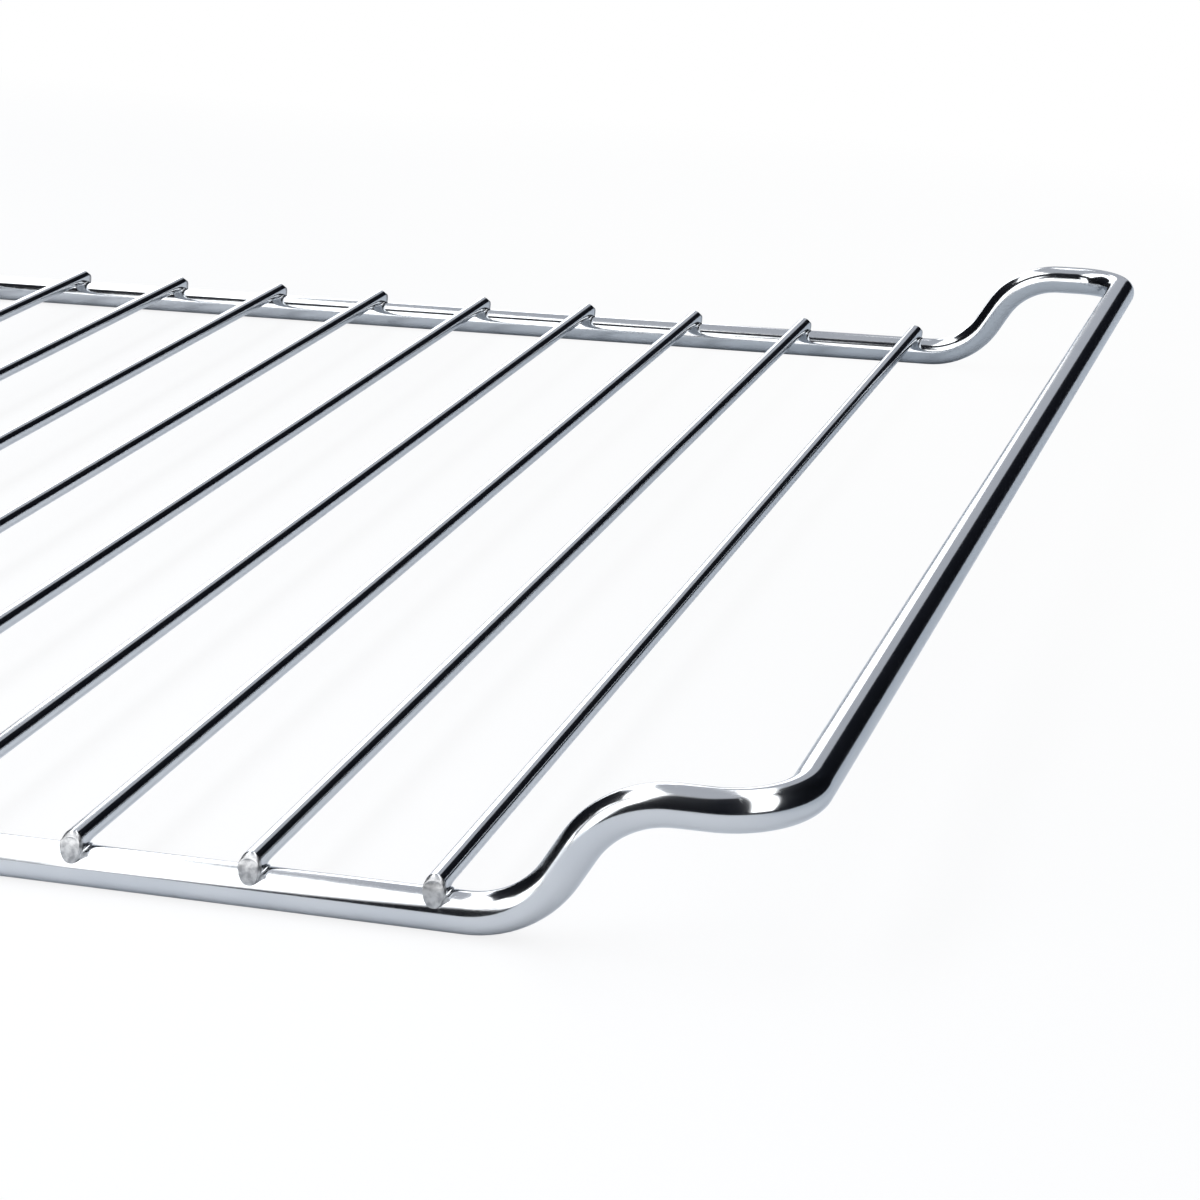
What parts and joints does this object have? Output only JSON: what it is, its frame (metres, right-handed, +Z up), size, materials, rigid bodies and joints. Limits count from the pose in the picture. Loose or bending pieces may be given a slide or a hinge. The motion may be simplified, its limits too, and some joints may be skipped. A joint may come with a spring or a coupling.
{
  "type": "oven shelf rack",
  "caption": "Chromed wire oven shelf: a bent round frame wire with raised side rails that slide in the oven's guides, and thin straight bars welded across its low front and rear rails.",
  "frame": {"origin": "on the resting surface, under the middle of the rack", "axes": "+X along the front and rear rails to the right side rail, +Y along the bars from front to rear, +Z up from the resting surface to the raised side rails"},
  "size_m": [0.452, 0.34, 0.025],
  "materials": {
    "frame_chrome": "bright chromium plating on bent round steel wire",
    "bar_chrome": "bright chromium plating on straight round steel wire, duller over the sheared and welded ends"
  },
  "bodies": {
    "root": {"frame_wire": "frame_chrome", "bar_01": "bar_chrome", "bar_02": "bar_chrome", "bar_03": "bar_chrome", "bar_04": "bar_chrome", "bar_05": "bar_chrome", "bar_06": "bar_chrome", "bar_07": "bar_chrome", "bar_08": "bar_chrome", "bar_09": "bar_chrome", "bar_10": "bar_chrome", "bar_11": "bar_chrome", "bar_12": "bar_chrome", "bar_13": "bar_chrome", "bar_14": "bar_chrome"}
  },
  "joints": []
}
